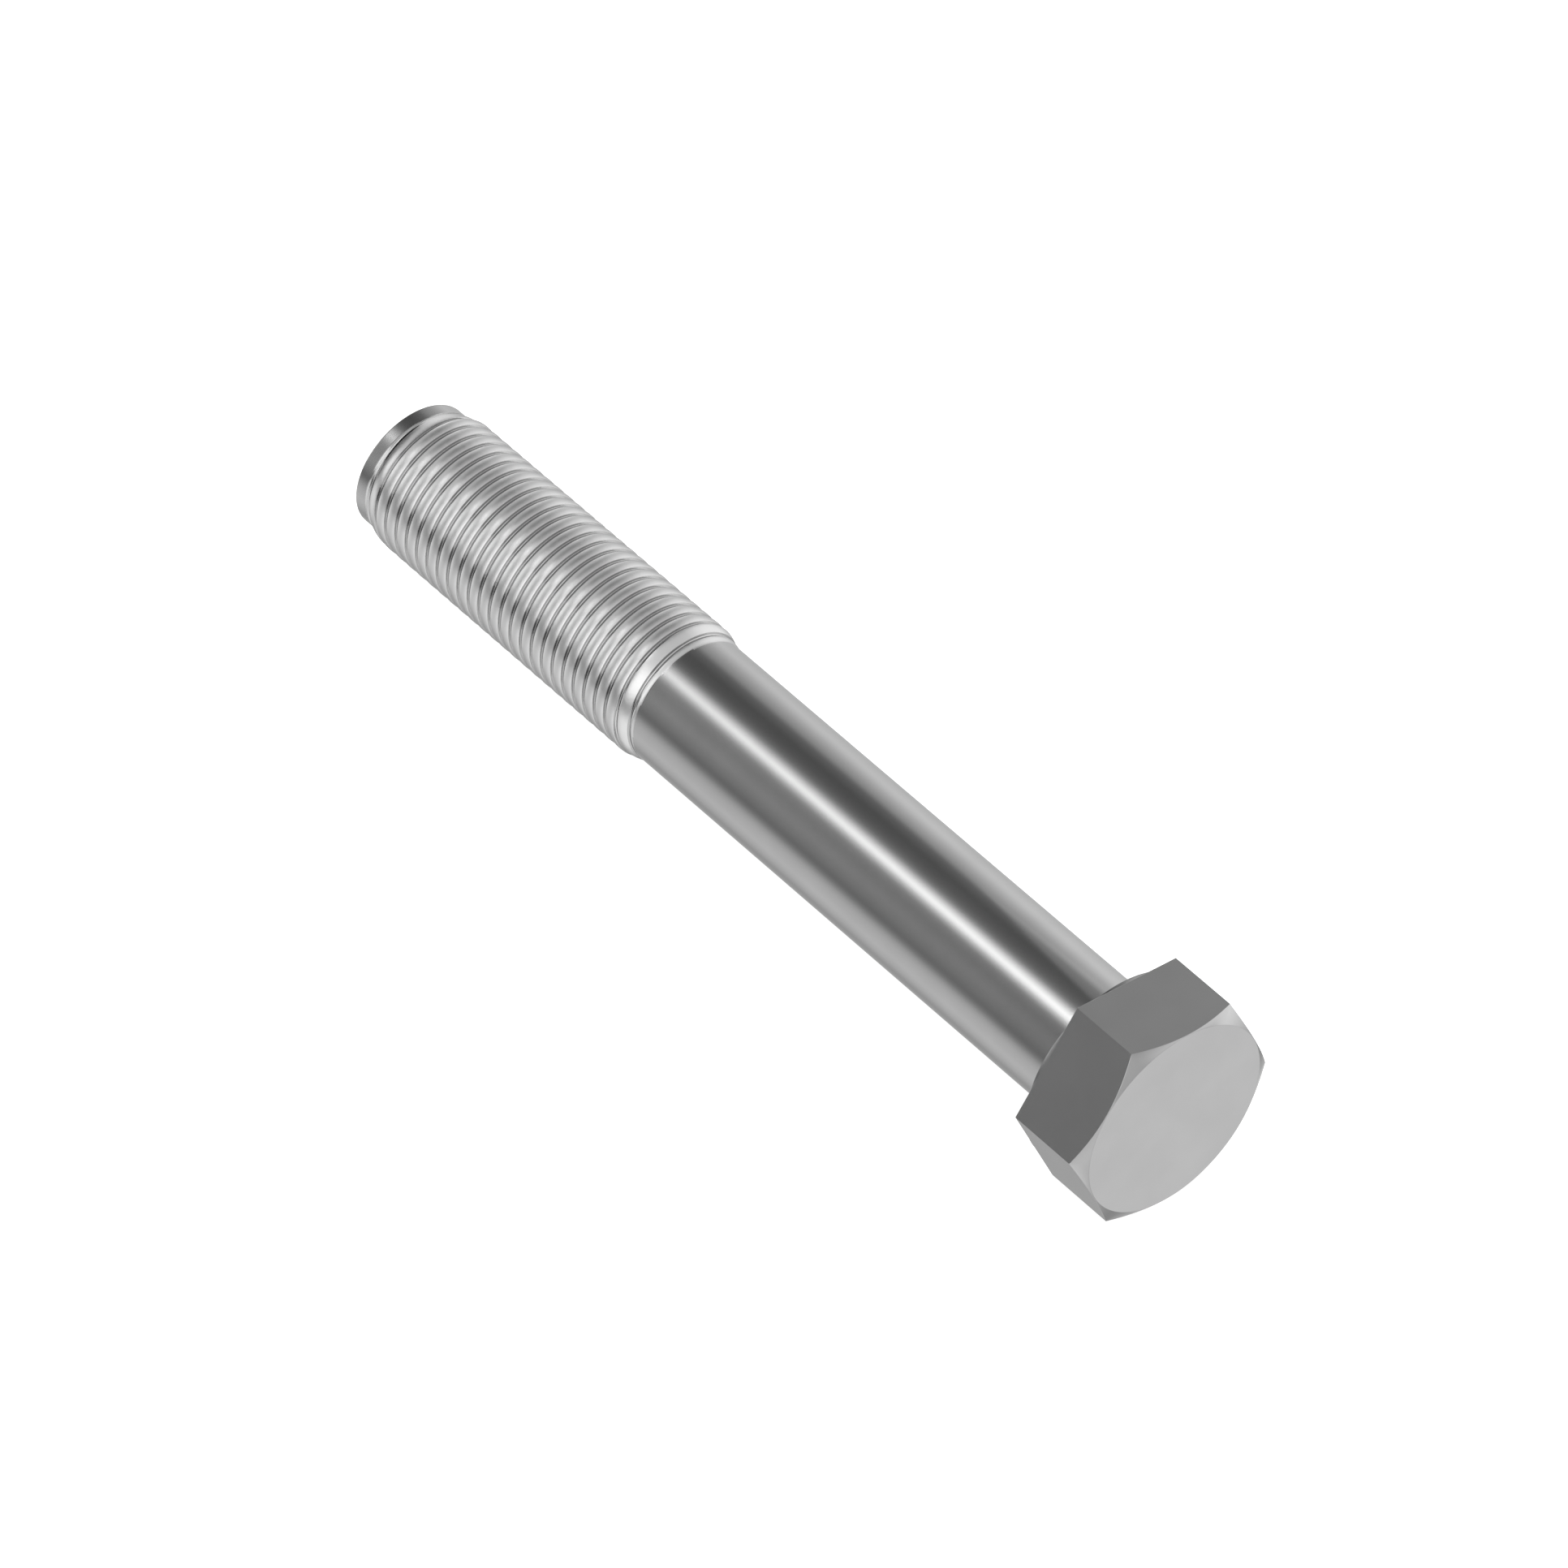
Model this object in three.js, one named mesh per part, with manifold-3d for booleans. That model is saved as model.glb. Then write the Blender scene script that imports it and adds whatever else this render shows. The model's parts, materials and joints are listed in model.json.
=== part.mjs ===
// Hex bolt, M12 x 1.25 x 80: hex head with a washer face, plain reduced shank,
// right-hand rolled thread and a plain point.
//
// A hex bolt is one forging, so this group holds one mesh. The bolt lies along X:
// the head points to +X and the threaded end to -X, one wrench flat faces up (+Z),
// and the origin is the centre of the head's top face. Sizes are in millimetres.

import * as THREE from 'three';
import { mergeVertices } from 'three/addons/utils/BufferGeometryUtils.js';
import Module from 'manifold-3d';

// Head
const acrossFlats = 16.6;
const hexHeight = 6.76;
const chamferAngle = THREE.MathUtils.degToRad( 30 );
const faceDiameter = 16.5; // circle of the top face, and of the washer face underneath
const washerFaceHeight = 0.32;
const headFillet = 0.6;

// Shank, thread and point, measured from the washer face
const shankDiameter = 11.03;
const threadDiameter = 11.97;
const threadPitch = 1.25;
const gripLength = 48.25; // plain shank
const coneLength = 1.7; // cone up to the thread's crests, at each end of the thread
const pointLength = 1.1; // plain point, as thick as the shank
const pointBreak = 0.06; // broken edge of the point
const boltLength = 81.4;

// Thread groove between broad crests: along the bolt, then its depth
const crestWidth = 0.87;
const flankWidth = 0.05;
const rootWidth = 0.12;
const grooveDepth = 0.2;
const fullGroove = 0.15; // height of the crests above the shank at which the groove is fully deep

// Fineness of the round shapes
const columns = 40;
const headSegments = 72;
const filletSteps = 4;
const closingSteps = 4; // between a slanted edge of the helix and the ring beyond it

// Heights on the bolt's axis, before it is laid along X: the head's top is at 0
const fullCircle = 2 * Math.PI;
const washerFace = - hexHeight - washerFaceHeight;
const shankEnd = washerFace - gripLength;
const tip = washerFace - boltLength;
const leadInStart = tip + pointLength;
const helixStart = tip + 0.33; // on the plain point, and the end on the plain shank
const helixEnd = shankEnd + 1;

const shankRadius = shankDiameter / 2;
const threadRadius = threadDiameter / 2;

const wasm = await Module();
wasm.setup();

function toSolid( geometry ) {

	geometry.deleteAttribute( 'normal' );
	geometry.deleteAttribute( 'uv' );
	const merged = mergeVertices( geometry, 1e-4 );
	const mesh = new wasm.Mesh( {
		numProp: 3,
		vertProperties: merged.attributes.position.array,
		triVerts: new Uint32Array( merged.index.array ),
	} );
	return new wasm.Manifold( mesh );

}

function toGeometry( solid ) {

	const mesh = solid.getMesh();
	const geometry = new THREE.BufferGeometry();
	geometry.setAttribute( 'position', new THREE.BufferAttribute( mesh.vertProperties, 3 ) );
	geometry.setIndex( new THREE.BufferAttribute( mesh.triVerts, 1 ) );
	geometry.computeVertexNormals();
	return geometry;

}

// Hex prism cut by a 30 degree cone, which leaves the round top face and curved chamfers.
function headSolid() {

	const cornerRadius = acrossFlats / Math.sqrt( 3 );
	const outline = new THREE.Shape();
	for ( let corner = 0; corner < 6; corner ++ ) {

		const angle = corner * fullCircle / 6;
		const x = cornerRadius * Math.cos( angle );
		const y = cornerRadius * Math.sin( angle );
		if ( corner === 0 ) outline.moveTo( x, y );
		else outline.lineTo( x, y );

	}

	const prism = new THREE.ExtrudeGeometry( outline, { depth: hexHeight, bevelEnabled: false } );
	prism.rotateX( - Math.PI / 2 );
	prism.translate( 0, - hexHeight, 0 );

	const topRadius = faceDiameter / 2;
	const coneRadius = cornerRadius + 1;
	const coneDrop = ( coneRadius - topRadius ) * Math.tan( chamferAngle );
	const cone = new THREE.LatheGeometry( [
		new THREE.Vector2( 0, - hexHeight - 1 ),
		new THREE.Vector2( coneRadius, - hexHeight - 1 ),
		new THREE.Vector2( coneRadius, - coneDrop ),
		new THREE.Vector2( topRadius, 0 ),
		new THREE.Vector2( 0, 0 ),
	], headSegments );

	return toSolid( prism ).intersect( toSolid( cone ) );

}

// How far the crests stand above the shank: a cone climbs to them at each end of the thread.
function crestHeight( height ) {

	const climb = ( height - leadInStart ) / coneLength;
	const fall = ( shankEnd - height ) / coneLength;
	return Math.max( 0, Math.min( 1, climb, fall ) ) * ( threadRadius - shankRadius );

}

// The stem is one skin: rings around the axis, with the thread's helix between them.
// Each column of the helix holds one pitch of the profile, and the next turn closes it.
function stemSolid() {

	const points = [];
	const faces = [];

	function addPoint( radius, height, angle ) {

		points.push( radius * Math.sin( angle ), height, radius * Math.cos( angle ) );
		return points.length / 3 - 1;

	}

	function addRing( radius, height ) {

		const ring = [];
		for ( let i = 0; i < columns; i ++ ) ring.push( addPoint( radius, height, i * fullCircle / columns ) );
		ring.push( ring[ 0 ] );
		return ring;

	}

	function addFan( loop ) {

		for ( let i = 1; i < loop.length - 1; i ++ ) faces.push( loop[ 0 ], loop[ i ], loop[ i + 1 ] );

	}

	function joinRings( lower, upper ) {

		for ( let i = 0; i < columns; i ++ ) addFan( [ lower[ i ], lower[ i + 1 ], upper[ i + 1 ], upper[ i ] ] );

	}

	function joinStack( rings ) {

		for ( let i = 0; i < rings.length - 1; i ++ ) joinRings( rings[ i ], rings[ i + 1 ] );

	}

	// Rows of points on the crests' surface, from one row to another that may be slanted
	function rowsBetween( first, last ) {

		const rows = [ first ];
		for ( let step = 1; step < closingSteps; step ++ ) {

			rows.push( first.map( ( spot, i ) => {

				const height = THREE.MathUtils.lerp( points[ 3 * spot + 1 ], points[ 3 * last[ i ] + 1 ], step / closingSteps );
				return addPoint( shankRadius + crestHeight( height ), height, i * fullCircle / columns );

			} ) );

		}

		return [ ...rows, last ];

	}

	// Joins rows from one column to another
	function joinRows( rows, from, to ) {

		for ( let k = 0; k < rows.length - 1; k ++ ) {

			const [ lower, upper ] = [ rows[ k ], rows[ k + 1 ] ];
			for ( let i = from; i < to; i ++ ) addFan( [ lower[ i ], lower[ i + 1 ], upper[ i + 1 ], upper[ i ] ] );

		}

	}

	// Point end
	const pointRings = [
		addRing( shankRadius - pointBreak, tip ),
		addRing( shankRadius, tip + pointBreak ),
		addRing( shankRadius, helixStart - 0.1 ),
	];
	addFan( pointRings[ 0 ].slice( 0, columns ).reverse() );
	joinStack( pointRings );

	// Thread: the groove dies out on the cones
	const rootStart = crestWidth / 2 + flankWidth;
	const profile = [
		{ along: 0, depth: 0 },
		{ along: crestWidth / 2, depth: 0 },
		{ along: rootStart, depth: grooveDepth },
		{ along: rootStart + rootWidth, depth: grooveDepth },
		{ along: threadPitch - crestWidth / 2, depth: 0 },
	];
	const turns = Math.floor( ( helixEnd - helixStart ) / threadPitch ) - 1;
	const last = turns * columns;
	const helix = [];
	for ( let i = 0; i <= last + columns; i ++ ) {

		const turn = i / columns;
		const steps = i <= last ? profile : profile.slice( 0, 1 );
		helix.push( steps.map( ( { along, depth } ) => {

			const height = helixStart + turn * threadPitch + along;
			const crest = crestHeight( height );
			const radius = shankRadius + crest - depth * Math.min( 1, crest / fullGroove );
			return addPoint( radius, height, turn * fullCircle );

		} ) );

	}

	const column = ( i ) => [ ...helix[ i ], helix[ i + columns ][ 0 ] ];
	for ( let i = 0; i < last; i ++ ) {

		const left = column( i );
		const right = column( i + 1 );
		for ( let k = 0; k < profile.length; k ++ ) addFan( [ left[ k ], right[ k ], right[ k + 1 ], left[ k + 1 ] ] );

	}

	// Below the helix's first turn and above its last, with a fan at each seam
	const edgeFrom = ( i ) => helix.slice( i, i + columns + 1 ).map( ( spots ) => spots[ 0 ] );
	const above = addRing( shankRadius, helixEnd );
	const firstRows = rowsBetween( pointRings[ 2 ], edgeFrom( 0 ) );
	const lastRows = rowsBetween( edgeFrom( last ), above );
	joinRows( firstRows, 0, columns - 1 );
	joinRows( lastRows, 1, columns );
	const downFirst = firstRows.map( ( row ) => row[ columns - 1 ] ).reverse();
	const upFirst = firstRows.slice( 0, - 1 ).map( ( row ) => row[ 0 ] );
	const upLast = lastRows.map( ( row ) => row[ 1 ] );
	const downLast = lastRows.slice( 1 ).reverse().map( ( row ) => row[ columns ] );
	addFan( [ ...downFirst, ...upFirst, ...column( 0 ) ] );
	addFan( [ ...upLast, ...downLast, ...column( last ).reverse() ] );

	// Shank, fillet and washer face, ending inside the hex
	const headRings = [ above ];
	for ( let i = 0; i <= filletSteps; i ++ ) {

		const turned = i / filletSteps * Math.PI / 2;
		const radius = shankRadius + headFillet * ( 1 - Math.cos( turned ) );
		const height = washerFace - headFillet * ( 1 - Math.sin( turned ) );
		headRings.push( addRing( radius, height ) );

	}

	headRings.push( addRing( faceDiameter / 2, washerFace ) );
	headRings.push( addRing( faceDiameter / 2, - hexHeight / 2 ) );
	joinStack( headRings );
	addFan( headRings.at( - 1 ).slice( 0, columns ) );

	const geometry = new THREE.BufferGeometry();
	geometry.setAttribute( 'position', new THREE.Float32BufferAttribute( points, 3 ) );
	geometry.setIndex( faces );
	return toSolid( geometry );

}

const steel = new THREE.MeshStandardMaterial( { color: 0xb9bbbd, metalness: 1, roughness: 0.3 } );
const bolt = new THREE.Mesh( toGeometry( headSolid().add( stemSolid() ) ), steel );
bolt.name = 'hex_bolt';
bolt.rotation.z = - Math.PI / 2;

const group = new THREE.Group();
group.add( bolt );

export default group;
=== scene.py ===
"""Hex bolt: the fine steel surface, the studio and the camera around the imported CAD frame.

Sizes are in metres. The bolt lies along X: the head's top is at the frame's high end of X and
the point at its low end, with one wrench flat facing up.
"""

import json
import math

import bpy
from mathutils import Matrix, Vector


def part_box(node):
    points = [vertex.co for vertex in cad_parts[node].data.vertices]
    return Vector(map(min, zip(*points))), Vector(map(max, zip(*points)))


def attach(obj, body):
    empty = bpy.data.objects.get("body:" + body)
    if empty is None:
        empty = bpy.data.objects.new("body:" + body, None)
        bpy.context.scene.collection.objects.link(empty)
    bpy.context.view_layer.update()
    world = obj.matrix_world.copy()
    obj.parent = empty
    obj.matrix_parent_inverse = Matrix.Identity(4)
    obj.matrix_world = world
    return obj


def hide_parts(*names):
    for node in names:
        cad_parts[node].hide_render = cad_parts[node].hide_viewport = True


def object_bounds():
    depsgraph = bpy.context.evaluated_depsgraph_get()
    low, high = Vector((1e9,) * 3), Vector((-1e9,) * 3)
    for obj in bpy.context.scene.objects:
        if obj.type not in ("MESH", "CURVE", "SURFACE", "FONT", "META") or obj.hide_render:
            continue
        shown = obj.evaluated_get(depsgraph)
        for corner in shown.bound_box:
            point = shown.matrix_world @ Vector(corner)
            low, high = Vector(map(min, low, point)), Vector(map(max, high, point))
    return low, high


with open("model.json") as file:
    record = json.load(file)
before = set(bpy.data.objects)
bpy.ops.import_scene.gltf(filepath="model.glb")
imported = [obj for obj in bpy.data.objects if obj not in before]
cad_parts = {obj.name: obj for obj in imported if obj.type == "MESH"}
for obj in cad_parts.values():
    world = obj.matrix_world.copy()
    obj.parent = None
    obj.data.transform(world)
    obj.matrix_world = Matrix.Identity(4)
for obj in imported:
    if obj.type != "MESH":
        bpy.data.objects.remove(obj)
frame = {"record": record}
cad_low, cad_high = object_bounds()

NODE = "hex_bolt"
MM = 0.001

# Places that the frame gives
node_low, node_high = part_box(NODE)
mounts = {mount["name"]: mount for mount in frame["record"]["mounts"]}
TIP = node_low.x
HEAD_TOP = node_high.x
HALF_FLATS = node_high.z
WASHER_FACE = mounts["bearing_face"]["pos_m"][0]
UPPER_FLAT = Vector(mounts["wrench_flat_up"]["pos_m"])

# Head
WASHER_FACE_HEIGHT = 0.32 * MM
FACE_RADIUS = HALF_FLATS - 0.05 * MM  # of the round top face, and of the washer face
CHAMFER_SLOPE = math.tan(math.radians(30))
HEAD_FILLET = 0.6 * MM
EDGE = 0.03 * MM  # rounding of the fine edges

# Shank, thread and point
SHANK_RADIUS = 5.515 * MM
THREAD_RADIUS = 5.985 * MM
PITCH = 1.25 * MM
GRIP_LENGTH = 48.25 * MM  # plain shank, from the washer face
CONE_LENGTH = 1.7 * MM  # cone up to the crests, at each end of the thread
POINT_LENGTH = 1.1 * MM

# Thread form: crowned crests and narrow grooves. Each crest is rounded off towards the point.
CREST_WIDTH = 0.87 * MM
CROWN = 0.045 * MM  # drop from a crest's middle to its edges
FLANK_WIDTH = 0.06 * MM
ROOT_WIDTH = 0.09 * MM
GROOVE_DEPTH = 0.2 * MM
SHOULDER_DROP = 0.1 * MM  # from a crest's edge down to the steep part of the flank facing the point
SHOULDER = 0.03 * MM  # rounding at the crests' edges
ROOT_FILLET = 0.03 * MM
FULL_GROOVE = 0.15 * MM  # height of the crests above the shank at which the groove is fully deep

# Places along the bolt. The thread's skin reaches onto the plain point and the plain shank.
HEX_BOTTOM = WASHER_FACE + WASHER_FACE_HEIGHT
SHANK_END = WASHER_FACE - GRIP_LENGTH
LEAD_IN_START = TIP + POINT_LENGTH
HELIX_START = TIP + 0.33 * MM
HELIX_END = SHANK_END + 1.2 * MM
POINT_RINGS_END = HELIX_START - 0.2 * MM

# Fineness
COLUMNS = 240
ARC_STEPS = 4
CREST_STEPS = 4
CLOSING_STEPS = 8  # rows between a slanted edge of the helix and the ring beyond it
ARC_REACH = 0.45  # the longest part of a neighbouring line that a rounding may take
SHARP_ANGLE = math.radians(50)

FULL_CIRCLE = 2 * math.pi
HEX_STEP = FULL_CIRCLE / 6

# Finishes, in the order of the mesh's materials. The flanks' finish is a darker grey: painted shade in
# the grooves.
SHANK_FINISH, HEAD_FINISH, CREST_FINISH, PAINTED_SHADE_FLANK_FINISH = range(4)
FLANK_SLOPE = 0.3  # a thread surface steeper than this has the flanks' finish
EDGE_TINT = 0.75
THREAD_EDGE_TINT = 0.6
THREAD_GRAIN = 0.45 * MM
THREAD_GRAIN_HEIGHT = 0.008 * MM
GRAIN_DETAIL = 3.0
GLOSS_SPREAD = 0.15
BLOTCH_SIZE = 4 * MM
BLOTCH_DETAIL = 4.0
BLOTCH_SPREAD = 0.06

# Light around the bolt's axis: angle from straight up, positive towards the camera's side, and
# brightness. The smooth shank mirrors the middle banks, which stand across the bolt from the
# camera and have one brightness on the head's side and one on the point's. Faces that lean
# towards one end of the bolt mirror the end banks.
MIDDLE_BANKS = (
    (-180, 0.6, 0.6), (-157, 0.65, 0.65), (-125, 0.8, 0.75), (-109, 1.05, 0.85), (-85, 1.2, 0.9),
    (-75, 1.3, 0.6), (-61, 1.0, 0.4), (-45, 0.6, 0.3), (-37, 0.2, 0.2), (-20, 0.12, 0.1),
    (-5, 0.2, 0.08), (5, 0.25, 0.2), (11, 0.45, 0.4), (19, 2.0, 0.4), (26, 3.5, 0.3),
    (30, 3.0, 0.2), (36, 1.2, 0.4), (43, 0.2, 0.5), (55, 0.05, 0.5), (75, 0.1, 0.6),
    (90, 0.2, 0.4), (103, 0.25, 0.2), (110, 0.4, 0.3), (118, 0.7, 0.5), (127, 0.8, 0.7),
    (150, 0.9, 0.9), (165, 0.8, 0.8), (180, 0.6, 0.6),
)
END_BANKS = (
    (-180, 0.95), (-160, 0.5), (-141, 1.2), (-125, 0.55), (-112, 0.95), (-101, 1.5), (-60, 1.25),
    (-45, 1.0), (-35, 0.7), (5, 0.75), (20, 0.85), (36, 0.8), (44, 1.65), (84, 1.65), (94, 0.3),
    (108, 0.22), (120, 1.3), (135, 1.3), (150, 1.2), (166, 1.35), (180, 0.95),
)
BRIGHTEST = 4.0

# Where the middle banks are, as the lean of a direction: its part along the bolt, 1 straight out
# from the head and -1 straight out from the point
MIDDLE = -0.53
MIDDLE_HALF = 0.12
MIDDLE_FADE = 0.06
MIDDLE_HEAD = -0.45
MIDDLE_POINT = -0.61

# Cards: (lean, share of the end banks' light that is left). The first tuple holds everywhere, and
# the second only on the card's side, which the thread's flanks mirror.
CARD = 0.04
END_FALL = (
    (-1, CARD), (-0.93, CARD), (-0.88, 1), (0.52, 1), (0.70, 0.8), (0.90, 0.8), (0.98, 0.75),
)
HEAD_CARD = ((0.60, 1), (0.76, 0.5), (0.86, 0.2), (0.93, CARD), (1, CARD))
CARD_SIDE = -141
CARD_HALF = 38
CARD_FADED = 50

# One level where the end banks meet, straight out from the head
POLE_LEVEL = 0.75
POLE_START = 0.965
POLE_END = 0.985

# Light beside the head
HEAD_LIGHT_SIZE = 26 * MM
HEAD_LIGHT_ENERGY = 0.0003
HEAD_LIGHT_DISTANCE = 45 * MM
HEAD_LIGHT_SIDE = Vector((-0.5, 0.545, 0.673))

# Floor
FLOOR_HALF = 1.5
FLOOR_GAP = 0.05 * MM
FLOOR_GREY = 0.3
FLOOR_GLOW = 0.85
FLOOR_LIGHT_SIZE = 0.8
FLOOR_LIGHT_ENERGY = 12
FLOOR_LIGHT_HEIGHT = 0.7
WHITE = (1, 1, 1, 1)

# Camera
AZIMUTH = math.radians(45.06)
ELEVATION = math.radians(41.12)
ROLL = math.radians(7.21)
CAMERA_DISTANCE = 0.9402
LENS = 289.4
SENSOR = 36


# --- The bolt's skin ---------------------------------------------------------------------


def rounded(corners):
    """Points of a polyline given as (x, y, radius) corners, with each corner turned into a curve."""
    points = []
    for i, (x, y, radius) in enumerate(corners):
        corner = Vector((x, y))
        if radius == 0:
            points.append(corner)
            continue
        before = Vector(corners[i - 1][:2]) - corner
        after = Vector(corners[i + 1][:2]) - corner
        turn = math.pi - before.angle(after)
        reach = min(radius * math.tan(turn / 2), ARC_REACH * before.length, ARC_REACH * after.length)
        start = corner + before.normalized() * reach
        end = corner + after.normalized() * reach
        for step in range(ARC_STEPS + 1):
            t = step / ARC_STEPS
            points.append(start * (1 - t) ** 2 + corner * 2 * t * (1 - t) + end * t * t)
    return points


def hex_radius(angle):
    """Distance from the axis to the hex outline."""
    from_corner = abs((angle + HEX_STEP / 2) % HEX_STEP - HEX_STEP / 2)
    return HALF_FLATS / math.cos(HEX_STEP / 2 - from_corner)


def head_profile(angle):
    """The outline from the thread's end to the rim of the head's top face, at one column."""
    outer = hex_radius(angle)
    chamfer_edge = HEAD_TOP - (outer - FACE_RADIUS) * CHAMFER_SLOPE
    return rounded([
        (HELIX_END, SHANK_RADIUS, 0),
        (WASHER_FACE, SHANK_RADIUS, HEAD_FILLET),
        (WASHER_FACE, FACE_RADIUS, EDGE),
        (HEX_BOTTOM, FACE_RADIUS, 0),
        (HEX_BOTTOM, outer, EDGE),
        (chamfer_edge, outer, EDGE),
        (HEAD_TOP, FACE_RADIUS, EDGE),
        (HEAD_TOP, FACE_RADIUS / 2, 0),
    ])


def point_profile():
    """The outline of the point's end, as far as the first row of the thread's skin."""
    return rounded([
        (TIP, SHANK_RADIUS / 2, 0),
        (TIP, SHANK_RADIUS, EDGE),
        (POINT_RINGS_END, SHANK_RADIUS, 0),
    ])


def groove_profile():
    """One pitch of the thread as (share of the pitch, depth) points, from crest to crest."""
    crest = CREST_WIDTH / 2
    crown = [(crest * i / CREST_STEPS, CROWN * (i / CREST_STEPS) ** 2, 0) for i in range(CREST_STEPS)]
    root = crest + FLANK_WIDTH
    groove = [
        (crest, CROWN, SHOULDER),
        (root, GROOVE_DEPTH, ROOT_FILLET),
        (root + ROOT_WIDTH, GROOVE_DEPTH, ROOT_FILLET),
        (root + ROOT_WIDTH + FLANK_WIDTH, CROWN + SHOULDER_DROP, SHOULDER),
        (PITCH - crest, CROWN, SHOULDER),
    ]
    next_crown = [(PITCH - x, depth, 0) for x, depth, _ in reversed(crown)]
    return [(point.x / PITCH, point.y) for point in rounded(crown + groove + next_crown)[:-1]]


def groove_finishes(profile):
    """The finish of each step along one pitch: the flanks differ from the crest and the root, and their
    darker grey is painted shade in the grooves.
    """
    finishes = []
    for (share, depth), (next_share, next_depth) in zip(profile, profile[1:] + [(1, 0)]):
        slope = abs(next_depth - depth) / ((next_share - share) * PITCH)
        finishes.append(PAINTED_SHADE_FLANK_FINISH if slope > FLANK_SLOPE else CREST_FINISH)
    return finishes


def crest_height(x):
    """How far the crests stand above the shank: a cone climbs to them at each end of the thread."""
    share = min(1, (x - LEAD_IN_START) / CONE_LENGTH, (SHANK_END - x) / CONE_LENGTH)
    return max(0, share) * (THREAD_RADIUS - SHANK_RADIUS)


class Skin:
    """One closed skin around the X axis, built from rings and one helix."""

    def __init__(self):
        self.count = COLUMNS
        self.angles = [FULL_CIRCLE * i / COLUMNS for i in range(COLUMNS)]
        self.points = []
        self.faces = []
        self.finishes = []
        self.finish = SHANK_FINISH

    def add_point(self, x, radius, angle):
        self.points.append((x, radius * math.cos(angle), radius * math.sin(angle)))
        return len(self.points) - 1

    def add_ring(self, spots):
        """Adds an (x, radius) spot per column and returns the ring, with its first point repeated."""
        ring = [self.add_point(*spot, angle) for spot, angle in zip(spots, self.angles)]
        return ring + ring[:1]

    def add_face(self, *corners):
        self.faces.append(corners)
        self.finishes.append(self.finish)

    def join(self, lower, upper):
        for i in range(self.count):
            self.add_face(lower[i], lower[i + 1], upper[i + 1], upper[i])

    def stack(self, rings):
        for lower, upper in zip(rings, rings[1:]):
            self.join(lower, upper)

    def cap(self, ring, x, outward):
        """Closes the skin with triangles from a ring to a point on the axis."""
        centre = self.add_point(x, 0, 0)
        for a, b in zip(ring, ring[1:]):
            self.add_face(*((centre, a, b) if outward > 0 else (centre, b, a)))

    def finish_at(self, point, finish):
        """The given finish between the thread's ends, and the shank's finish past them."""
        x = self.points[point][0]
        return finish if LEAD_IN_START <= x < SHANK_END else SHANK_FINISH

    def rows_between(self, first, last, angles):
        """Rows of points on the crests' surface, from one row to another that may be slanted."""
        rows = [first]
        for step in range(1, CLOSING_STEPS):
            row = []
            for a, b, angle in zip(first, last, angles):
                from_x = self.points[a][0]
                x = from_x + (self.points[b][0] - from_x) * step / CLOSING_STEPS
                row.append(self.add_point(x, SHANK_RADIUS + crest_height(x), angle))
            rows.append(row)
        return rows + [last]

    def join_rows(self, rows):
        for lower, upper in zip(rows, rows[1:]):
            for a, b, c, d in zip(lower, lower[1:], upper[1:], upper):
                self.finish = self.finish_at(a, CREST_FINISH)
                self.add_face(a, b, c, d)

    def join_columns(self, left, right):
        """Joins two columns of points, both in order of X, with triangles."""
        i = j = 0
        while i + 1 < len(left) or j + 1 < len(right):
            left_x = self.points[left[i + 1]][0] if i + 1 < len(left) else math.inf
            right_x = self.points[right[j + 1]][0] if j + 1 < len(right) else math.inf
            self.finish = self.finish_at(left[i], CREST_FINISH)
            if left_x < right_x:
                self.add_face(left[i], right[j], left[i + 1])
                i += 1
            else:
                self.add_face(left[i], right[j], right[j + 1])
                j += 1

    def thread(self, below, above):
        """Fills the gap between two rings with a right-hand helix.

        Each column of the helix holds one pitch of the profile and the next turn closes it.
        The groove dies out on the cones. Rows of points lead from each ring to the slanted edge
        of the helix, and a strip of triangles closes them at angle 0.
        """
        profile = groove_profile()
        finishes = groove_finishes(profile)
        turns = int((HELIX_END - HELIX_START) / PITCH) - 1
        last = turns * self.count
        helix = []
        for i in range(last + self.count + 1):
            turn = i // self.count + self.angles[i % self.count] / FULL_CIRCLE
            column = []
            for share, depth in profile if i <= last else profile[:1]:
                x = HELIX_START + (turn + share) * PITCH
                height = crest_height(x)
                radius = SHANK_RADIUS + height - depth * min(1, height / FULL_GROOVE)
                column.append(self.add_point(x, radius, turn * FULL_CIRCLE))
            helix.append(column)
        columns = [helix[i] + helix[i + self.count][:1] for i in range(last + 1)]
        for left, right in zip(columns, columns[1:]):
            for finish, a, b, c, d in zip(finishes, left, right, right[1:], left[1:]):
                self.finish = self.finish_at(a, finish)
                self.add_face(a, b, c, d)
        first_edge = [column[0] for column in helix[:self.count]]
        last_edge = [column[0] for column in helix[last + 1:]]
        first_rows = self.rows_between(below[:-1], first_edge, self.angles)
        last_rows = self.rows_between(last_edge, above[1:], self.angles[1:] + [0])
        self.join_rows(first_rows)
        self.join_rows(last_rows)
        up_to_helix = [row[0] for row in first_rows[:-1]]
        up_from_helix = [row[-1] for row in last_rows[1:]]
        self.join_columns([row[-1] for row in first_rows], up_to_helix + columns[0])
        self.join_columns(columns[last] + up_from_helix, [row[0] for row in last_rows])


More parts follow.
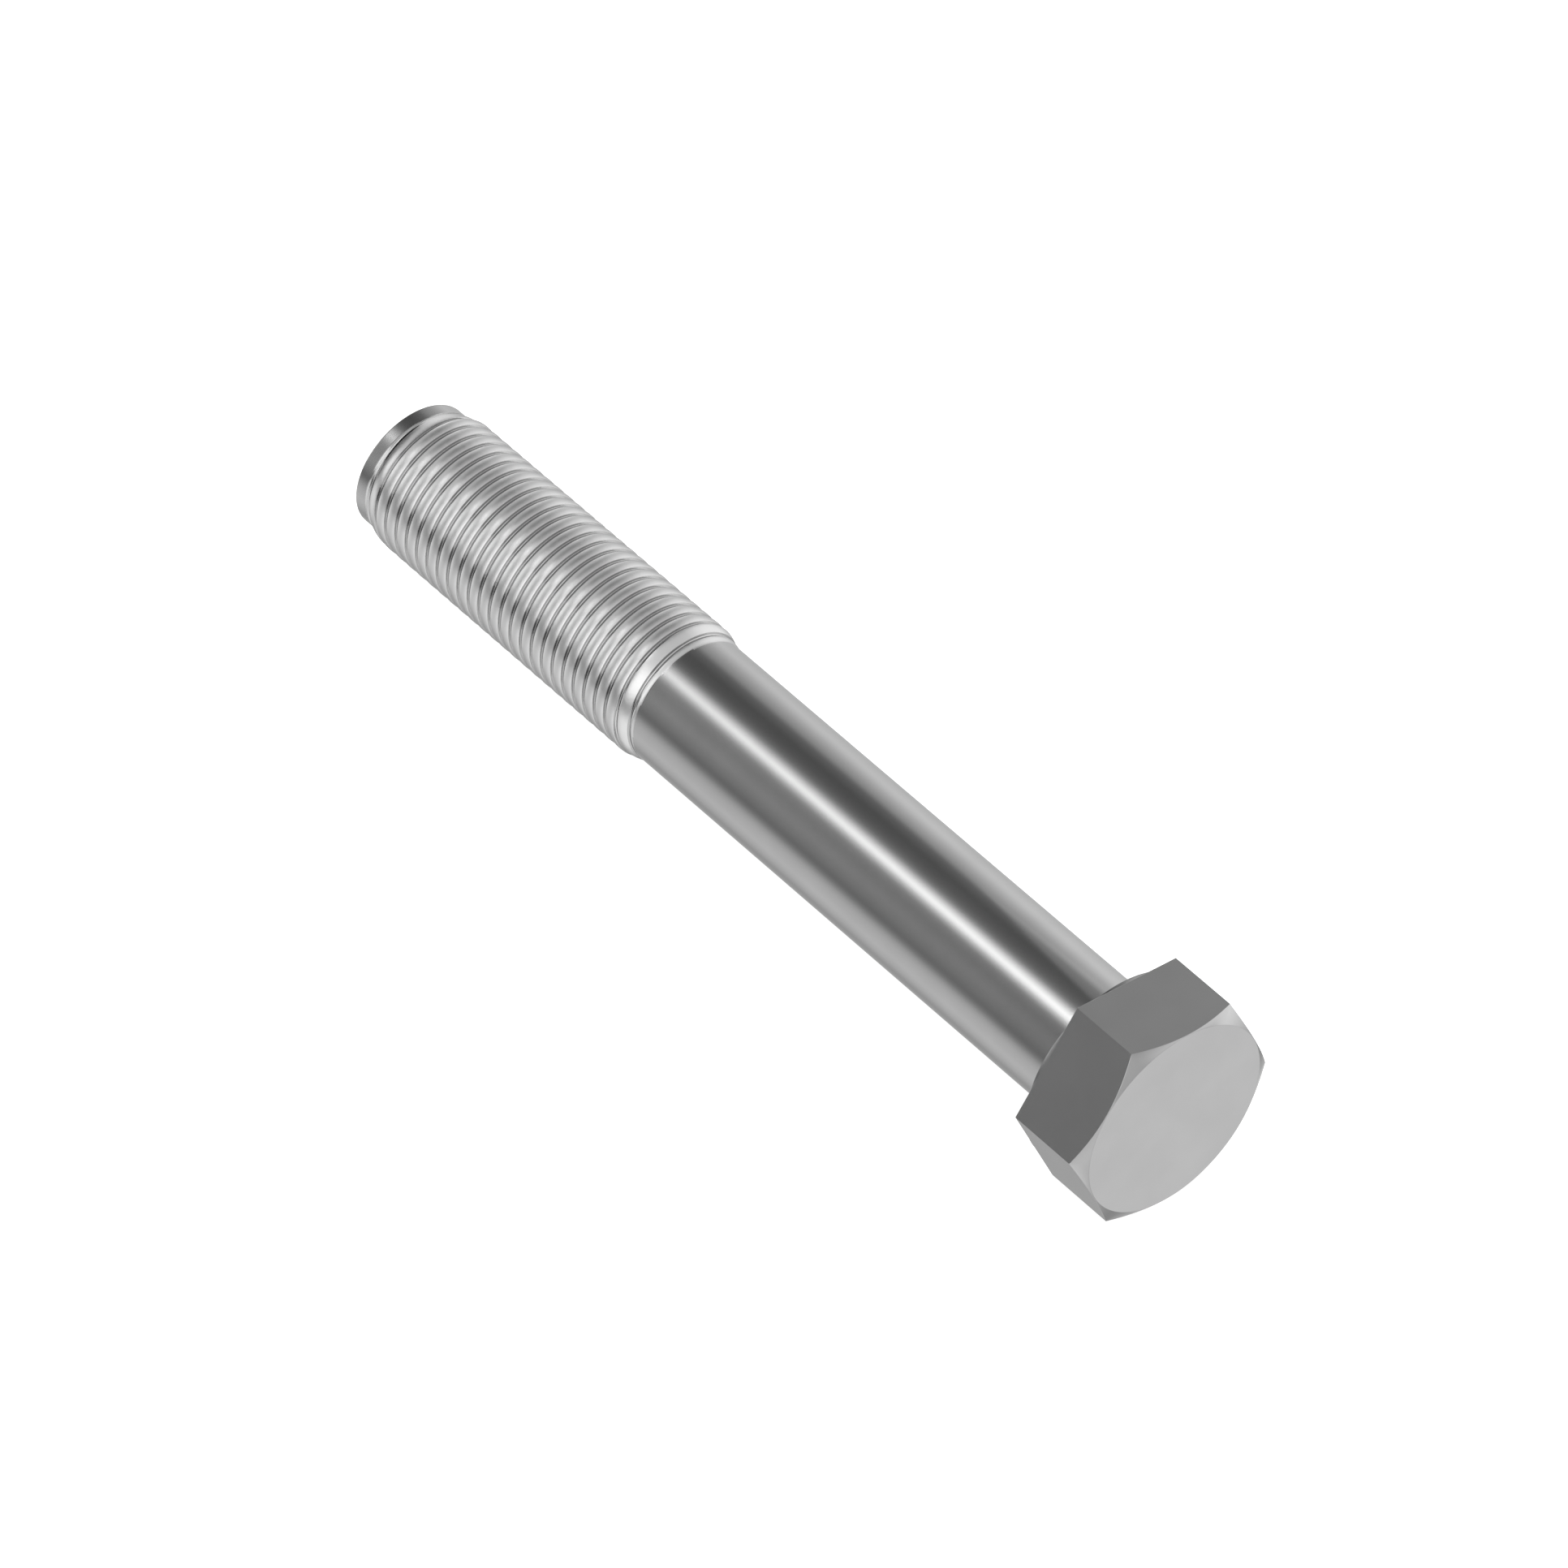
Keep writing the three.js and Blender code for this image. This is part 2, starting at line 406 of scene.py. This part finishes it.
def bolt_skin():
    """The whole bolt as one closed skin: point, thread, shank and head."""
    skin = Skin()
    point_rings = [skin.add_ring([spot] * skin.count) for spot in point_profile()]
    head_columns = [head_profile(angle) for angle in skin.angles]
    head_rings = [skin.add_ring(spots) for spots in zip(*head_columns)]
    skin.cap(point_rings[0], TIP, -1)
    skin.stack(point_rings)
    skin.thread(point_rings[-1], head_rings[0])
    fillet_end = 1 + ARC_STEPS
    skin.finish = SHANK_FINISH
    skin.stack(head_rings[:fillet_end + 1])
    skin.finish = HEAD_FINISH
    skin.stack(head_rings[fillet_end:])
    skin.cap(head_rings[-1], HEAD_TOP, 1)
    return skin


def build_bolt():
    skin = bolt_skin()
    mesh = bpy.data.meshes.new("bolt_steel")
    mesh.from_pydata(skin.points, [], skin.faces)
    for material in (shank_steel(), head_steel(), crest_steel(), flank_steel_painted_shade()):
        mesh.materials.append(material)
    mesh.polygons.foreach_set("material_index", skin.finishes)
    mesh.polygons.foreach_set("use_smooth", [True] * len(skin.faces))
    mesh.update()
    mesh.set_sharp_from_angle(angle=SHARP_ANGLE)
    bolt = bpy.data.objects.new("bolt_steel", mesh)
    bpy.context.scene.collection.objects.link(bolt)
    normals = bolt.modifiers.new("flat faces stay flat", "WEIGHTED_NORMAL")
    normals.weight = 100
    normals.keep_sharp = True
    return bolt


# --- Materials -----------------------------------------------------------------------------


class Nodes:
    """A short way to add and link the nodes of one material or world."""

    def __init__(self, owner):
        owner.use_nodes = True
        self.tree = owner.node_tree
        self.tree.nodes.clear()

    def add(self, kind, inputs=None, **settings):
        node = self.tree.nodes.new(kind)
        for name, value in settings.items():
            setattr(node, name, value)
        for name, value in (inputs or {}).items():
            self.plug(node.inputs[name], value)
        return node

    def plug(self, socket, value):
        if isinstance(value, bpy.types.NodeSocket):
            self.tree.links.new(value, socket)
        else:
            socket.default_value = value

    def math(self, operation, *values):
        node = self.add("ShaderNodeMath", operation=operation)
        for socket, value in zip(node.inputs, values):
            self.plug(socket, value)
        return node.outputs[0]

    def noise(self, place, size, detail):
        inputs = {"Vector": place, "Scale": 1 / size, "Detail": detail}
        return self.add("ShaderNodeTexNoise", inputs).outputs[0]

    def vary(self, share, middle, spread):
        """Maps a share in 0..1 to values around the middle, by up to the spread's part of it."""
        low, high = middle * (1 - spread), middle * (1 + spread)
        return self.add("ShaderNodeMapRange", {"Value": share, "To Min": low, "To Max": high}).outputs[0]

    def share(self, value, low, high, interpolation="LINEAR"):
        """Maps a value in low..high to 0..1."""
        inputs = {"Value": value, "From Min": low, "From Max": high}
        return self.add("ShaderNodeMapRange", inputs, interpolation_type=interpolation).outputs[0]

    def ramp(self, share, stops, low, high):
        """A level that follows (value, level) stops, whose values are between low and high."""
        node = self.add("ShaderNodeValToRGB", {"Fac": share})
        elements = node.color_ramp.elements
        while len(elements) < len(stops):
            elements.new(0.5)
        for element, (value, level) in zip(elements, stops):
            element.position = (value - low) / (high - low)
            element.color = (level, level, level, 1)
        return node.outputs[0]

    def background(self, colour, strength):
        return self.add("ShaderNodeBackground", {"Color": colour, "Strength": strength}).outputs[0]

    def mix(self, share, first, second):
        return self.add("ShaderNodeMixShader", {"Fac": share, 1: first, 2: second}).outputs[0]


def steel(name, grey, roughness, grain_size, grain_height, edge_tint):
    """Bare steel: a mottled grey metal with a fine grain, tinted where it is seen at a slant."""
    material = bpy.data.materials.new(name)
    nodes = Nodes(material)
    place = nodes.add("ShaderNodeTexCoord").outputs["Object"]
    grain = nodes.noise(place, grain_size, GRAIN_DETAIL)
    blotch = nodes.noise(place, BLOTCH_SIZE, BLOTCH_DETAIL)
    tone = nodes.vary(blotch, grey, BLOTCH_SPREAD)
    colour = nodes.add("ShaderNodeCombineColor", {"Red": tone, "Green": tone, "Blue": tone})
    bump = nodes.add("ShaderNodeBump", {"Height": grain, "Distance": grain_height})
    shader = nodes.add("ShaderNodeBsdfPrincipled", {
        "Base Color": colour.outputs[0],
        "Metallic": 1.0,
        "Roughness": nodes.vary(grain, roughness, GLOSS_SPREAD),
        "Specular Tint": (edge_tint, edge_tint, edge_tint, 1),
        "Normal": bump.outputs[0],
    })
    nodes.add("ShaderNodeOutputMaterial", {"Surface": shader.outputs[0]})
    return material


def shank_steel():
    """Drawn steel, fairly bright."""
    return steel(
        "shank_steel",
        grey=0.50,
        roughness=0.16,
        grain_size=0.08 * MM,
        grain_height=0.002 * MM,
        edge_tint=EDGE_TINT,
    )


def head_steel():
    """Forged and trimmed steel, satin."""
    return steel(
        "head_steel",
        grey=0.45,
        roughness=0.17,
        grain_size=0.15 * MM,
        grain_height=0.0005 * MM,
        edge_tint=EDGE_TINT,
    )


def crest_steel():
    """Rolled crests and roots: matt."""
    return steel(
        "crest_steel",
        grey=0.65,
        roughness=0.33,
        grain_size=THREAD_GRAIN,
        grain_height=THREAD_GRAIN_HEIGHT,
        edge_tint=THREAD_EDGE_TINT,
    )


def flank_steel_painted_shade():
    """Thread flanks: a darker grey than the crests, painted shade in the grooves."""
    return steel(
        "flank_steel_painted_shade",
        grey=0.46,
        roughness=0.10,
        grain_size=THREAD_GRAIN,
        grain_height=THREAD_GRAIN_HEIGHT,
        edge_tint=THREAD_EDGE_TINT,
    )


# --- Studio --------------------------------------------------------------------------------


def bank_light(nodes, turn, banks, strength):
    """A background whose brightness follows (angle, brightness) banks around the bolt."""
    stops = [(degrees, level / BRIGHTEST) for degrees, level in banks]
    return nodes.background(nodes.ramp(turn, stops, -180, 180), strength)


def middle_light(nodes, turn, lean):
    """The middle banks, from their head's side to their point's side."""
    head_banks = [(degrees, level) for degrees, level, _ in MIDDLE_BANKS]
    point_banks = [(degrees, level) for degrees, _, level in MIDDLE_BANKS]
    head_side = bank_light(nodes, turn, head_banks, BRIGHTEST)
    point_side = bank_light(nodes, turn, point_banks, BRIGHTEST)
    return nodes.mix(nodes.share(lean, MIDDLE_HEAD, MIDDLE_POINT), head_side, point_side)


def end_light(nodes, angle, turn, lean):
    """The end banks behind their cards, and the one level where they meet."""
    lean_share = nodes.share(lean, -1, 1)
    fall = nodes.ramp(lean_share, END_FALL, -1, 1)
    card = nodes.ramp(lean_share, HEAD_CARD, -1, 1)
    from_card = nodes.math("ABSOLUTE", nodes.math("SUBTRACT", angle, math.radians(CARD_SIDE)))
    off_card = nodes.share(from_card, math.radians(CARD_HALF), math.radians(CARD_FADED))
    left = nodes.math("MULTIPLY", fall, nodes.math("MAXIMUM", card, off_card))
    banks = bank_light(nodes, turn, END_BANKS, nodes.math("MULTIPLY", left, BRIGHTEST))
    pole = nodes.background(WHITE, POLE_LEVEL)
    return nodes.mix(nodes.share(lean, POLE_START, POLE_END), banks, pole)


def make_world():
    """Soft light banks that run along the bolt. The camera sees plain white instead."""
    world = bpy.data.worlds.new("studio")
    bpy.context.scene.world = world
    nodes = Nodes(world)
    toward = nodes.add("ShaderNodeTexCoord").outputs["Generated"]
    parts = nodes.add("ShaderNodeSeparateXYZ", {"Vector": toward}).outputs
    lean = parts["X"]
    angle = nodes.math("ARCTAN2", nodes.math("MULTIPLY", parts["Y"], -1.0), parts["Z"])
    turn = nodes.share(angle, -math.pi, math.pi)
    from_middle = nodes.math("ABSOLUTE", nodes.math("SUBTRACT", lean, MIDDLE))
    to_ends = nodes.share(from_middle, MIDDLE_HALF, MIDDLE_HALF + MIDDLE_FADE, "SMOOTHSTEP")
    banks = nodes.mix(to_ends, middle_light(nodes, turn, lean), end_light(nodes, angle, turn, lean))
    seen = nodes.add("ShaderNodeLightPath").outputs["Is Camera Ray"]
    mixed = nodes.mix(seen, banks, nodes.background(WHITE, 1.0))
    nodes.add("ShaderNodeOutputWorld", {"Surface": mixed})


def make_floor():
    """A wide pale floor, lit through from below, so that the bolt's shadow on it stays faint."""
    corners = [(-1, -1), (1, -1), (1, 1), (-1, 1)]
    mesh = bpy.data.meshes.new("floor")
    mesh.from_pydata([(FLOOR_HALF * x, FLOOR_HALF * y, 0) for x, y in corners], [], [(0, 1, 2, 3)])
    material = bpy.data.materials.new("pale_floor")
    nodes = Nodes(material)
    colour = (FLOOR_GREY, FLOOR_GREY, FLOOR_GREY, 1)
    surface = nodes.add("ShaderNodeBsdfDiffuse", {"Color": colour})
    glow = nodes.add("ShaderNodeEmission", {"Color": WHITE, "Strength": FLOOR_GLOW})
    both = nodes.add("ShaderNodeAddShader", {0: surface.outputs[0], 1: glow.outputs[0]})
    nodes.add("ShaderNodeOutputMaterial", {"Surface": both.outputs[0]})
    mesh.materials.append(material)
    floor = bpy.data.objects.new("floor", mesh)
    floor.location.z = cad_low.z - FLOOR_GAP
    floor.visible_glossy = False
    bpy.context.scene.collection.objects.link(floor)


def area_light(name, size, energy):
    """A square lamp that the camera doesn't see."""
    lamp = bpy.data.lights.new(name, "AREA")
    lamp.size = size
    lamp.energy = energy
    light = bpy.data.objects.new(name, lamp)
    light.visible_camera = False
    bpy.context.scene.collection.objects.link(light)
    return light


def make_floor_light():
    """A wide overhead light that leaves a soft shadow on the floor and no reflection."""
    light = area_light("floor_light", FLOOR_LIGHT_SIZE, FLOOR_LIGHT_ENERGY)
    light.location = ((cad_low.x + cad_high.x) / 2, 0, FLOOR_LIGHT_HEIGHT)
    light.visible_glossy = False


def make_head_light():
    """A small soft light beside the head, which the upper flat mirrors."""
    light = area_light("head_light", HEAD_LIGHT_SIZE, HEAD_LIGHT_ENERGY)
    place = Matrix.Translation(UPPER_FLAT + HEAD_LIGHT_SIDE * HEAD_LIGHT_DISTANCE)
    light.matrix_world = place @ HEAD_LIGHT_SIDE.to_track_quat("Z", "Y").to_matrix().to_4x4()


def make_camera():
    """A long lens aimed at the bolt's middle, from the head's side and above."""
    lens = bpy.data.cameras.new("camera")
    lens.lens = LENS
    lens.sensor_width = SENSOR
    camera = bpy.data.objects.new("camera", lens)
    turn = Matrix.Rotation(AZIMUTH, 4, "Z") @ Matrix.Rotation(math.pi / 2 - ELEVATION, 4, "X")
    turn = turn @ Matrix.Rotation(ROLL, 4, "Z")
    aim = (cad_low + cad_high) / 2
    camera.matrix_world = Matrix.Translation(aim) @ turn @ Matrix.Translation((0, 0, CAMERA_DISTANCE))
    bpy.context.scene.collection.objects.link(camera)
    bpy.context.scene.camera = camera


bolt = build_bolt()
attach(bolt, "root")
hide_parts(NODE)
make_world()
make_floor()
make_floor_light()
make_head_light()
make_camera()
bpy.context.scene.view_settings.view_transform = "Standard"
